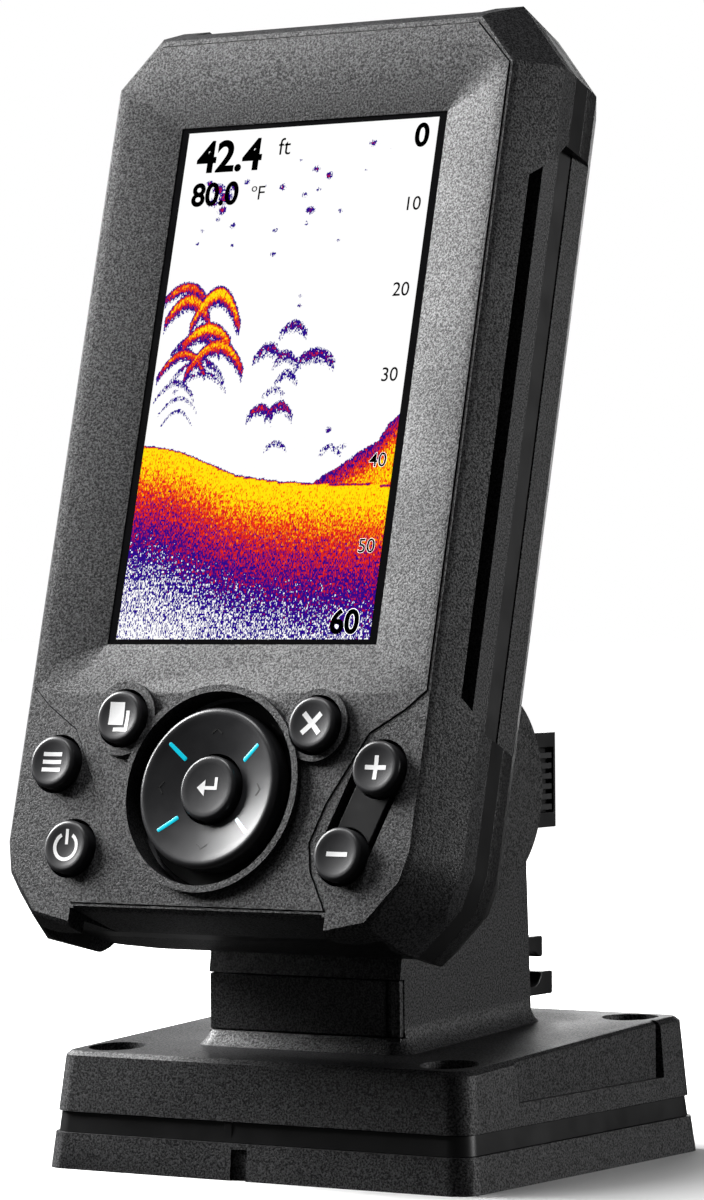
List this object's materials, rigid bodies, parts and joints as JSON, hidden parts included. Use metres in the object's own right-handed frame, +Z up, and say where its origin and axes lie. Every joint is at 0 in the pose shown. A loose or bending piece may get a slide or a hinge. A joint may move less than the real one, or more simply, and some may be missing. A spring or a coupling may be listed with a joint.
{
  "type": "fish finder",
  "caption": "Portrait fish finder: colour display over round keys and a direction pad, on a tilting, swivelling base that lets go when squeezed.",
  "frame": {"origin": "centre of the base plate's underside, on the swivel axis", "axes": "+Z up along the swivel axis, -Y towards the user who faces the display, +X to that user's right"},
  "size_m": [0.0944, 0.0994, 0.2073],
  "materials": {
    "case_black": "fine spark texture",
    "smooth_black": "smooth satin",
    "cover_grey": "fine satin",
    "key_black": "satin",
    "grip_rubber": "matte",
    "seal_rubber": "matte",
    "key_rubber": "matte",
    "lens": "polished",
    "screen_module": "satin",
    "white_plastic": "matte",
    "circuit_board": "satin",
    "flex": "satin",
    "shield_tin": "satin",
    "steel": "machined",
    "spring_steel": "drawn",
    "contact_gold": "plated",
    "light_cyan": "lit"
  },
  "bodies": {
    "base": {"base_plate": "case_black", "glide_band": "smooth_black", "swivel_bolt": "steel", "swivel_washer": "steel", "swivel_nut": "steel"},
    "bracket": {"swivel_housing": "case_black", "column_cover": "case_black", "cable_clip": "smooth_black", "release_spring": "spring_steel"},
    "grip_left": {"release_left": "smooth_black", "grip_pad_left": "grip_rubber"},
    "grip_right": {"release_right": "smooth_black", "grip_pad_right": "grip_rubber"},
    "head": {"front_housing": "case_black", "middle_frame": "smooth_black", "rear_cover": "cover_grey", "tilt_washers": "white_plastic", "case_screws": "steel", "case_gasket": "seal_rubber", "fascia": "case_black", "screen_lens": "lens", "display_module": "screen_module", "light_tray": "white_plastic", "display_flex": "flex", "main_board": "circuit_board", "processor_shield": "shield_tin", "buzzer": "smooth_black", "keypad_board": "circuit_board", "keypad_mat": "key_rubber", "cable_socket": "smooth_black", "socket_pins": "contact_gold", "zoom_bridge": "smooth_black"},
    "pad_gimbal": {"pad_gimbal": "smooth_black"},
    "pad": {"pad_ring": "key_black", "pad_lights": "light_cyan"},
    "key_menu": {"key_menu": "key_black"},
    "key_power": {"key_power": "key_black"},
    "key_page": {"key_page": "key_black"},
    "key_exit": {"key_exit": "key_black"},
    "key_plus": {"key_plus": "key_black"},
    "key_minus": {"key_minus": "key_black"},
    "key_enter": {"key_enter": "key_black"}
  },
  "joints": [
    {"name": "swivel", "type": "hinge", "parent": "base", "child": "bracket", "pos_m": [0, 0, 0.0103], "axis": [0, 0, 1], "range_deg": [-60, 60]},
    {"name": "tilt", "type": "hinge", "parent": "bracket", "child": "head", "pos_m": [0, -0.003, 0.068], "axis": [1, 0, 0], "range_deg": [-35, 6]},
    {"name": "squeeze_left", "type": "slide", "parent": "bracket", "child": "grip_left", "axis": [1, 0, 0], "range_m": [0, 0.0043], "stiffness_N_per_m": 400, "springref_m": -0.005, "deforming": ["release_spring"]},
    {"name": "squeeze_right", "type": "slide", "parent": "bracket", "child": "grip_right", "axis": [-1, 0, 0], "range_m": [0, 0.0043], "stiffness_N_per_m": 400, "springref_m": -0.005, "deforming": ["release_spring"]},
    {"name": "pad_rock_updown", "type": "hinge", "parent": "head", "child": "pad_gimbal", "pos_m": [0, -0.04618, 0.06795], "axis": [1, 0, 0], "range_deg": [-3, 3], "stiffness_Nm_per_rad": 0.05},
    {"name": "pad_rock_sideways", "type": "hinge", "parent": "pad_gimbal", "child": "pad", "pos_m": [0, -0.04855, 0.06858], "axis": [0, 0.2538, 0.9673], "range_deg": [-3, 3], "stiffness_Nm_per_rad": 0.05},
    {"name": "press_menu", "type": "slide", "parent": "head", "child": "key_menu", "axis": [0, 0.9673, -0.2538], "range_m": [0, 0.0008], "stiffness_N_per_m": 1500},
    {"name": "press_power", "type": "slide", "parent": "head", "child": "key_power", "axis": [0, 0.9673, -0.2538], "range_m": [0, 0.0008], "stiffness_N_per_m": 1500},
    {"name": "press_page", "type": "slide", "parent": "head", "child": "key_page", "axis": [0, 0.9673, -0.2538], "range_m": [0, 0.0008], "stiffness_N_per_m": 1500},
    {"name": "press_exit", "type": "slide", "parent": "head", "child": "key_exit", "axis": [0, 0.9673, -0.2538], "range_m": [0, 0.0008], "stiffness_N_per_m": 1500},
    {"name": "press_plus", "type": "slide", "parent": "head", "child": "key_plus", "axis": [0, 0.9673, -0.2538], "range_m": [0, 0.0008], "stiffness_N_per_m": 1500},
    {"name": "press_minus", "type": "slide", "parent": "head", "child": "key_minus", "axis": [0, 0.9673, -0.2538], "range_m": [0, 0.0008], "stiffness_N_per_m": 1500},
    {"name": "press_enter", "type": "slide", "parent": "head", "child": "key_enter", "axis": [0, 0.9673, -0.2538], "range_m": [0, 0.0008], "stiffness_N_per_m": 1500}
  ]
}
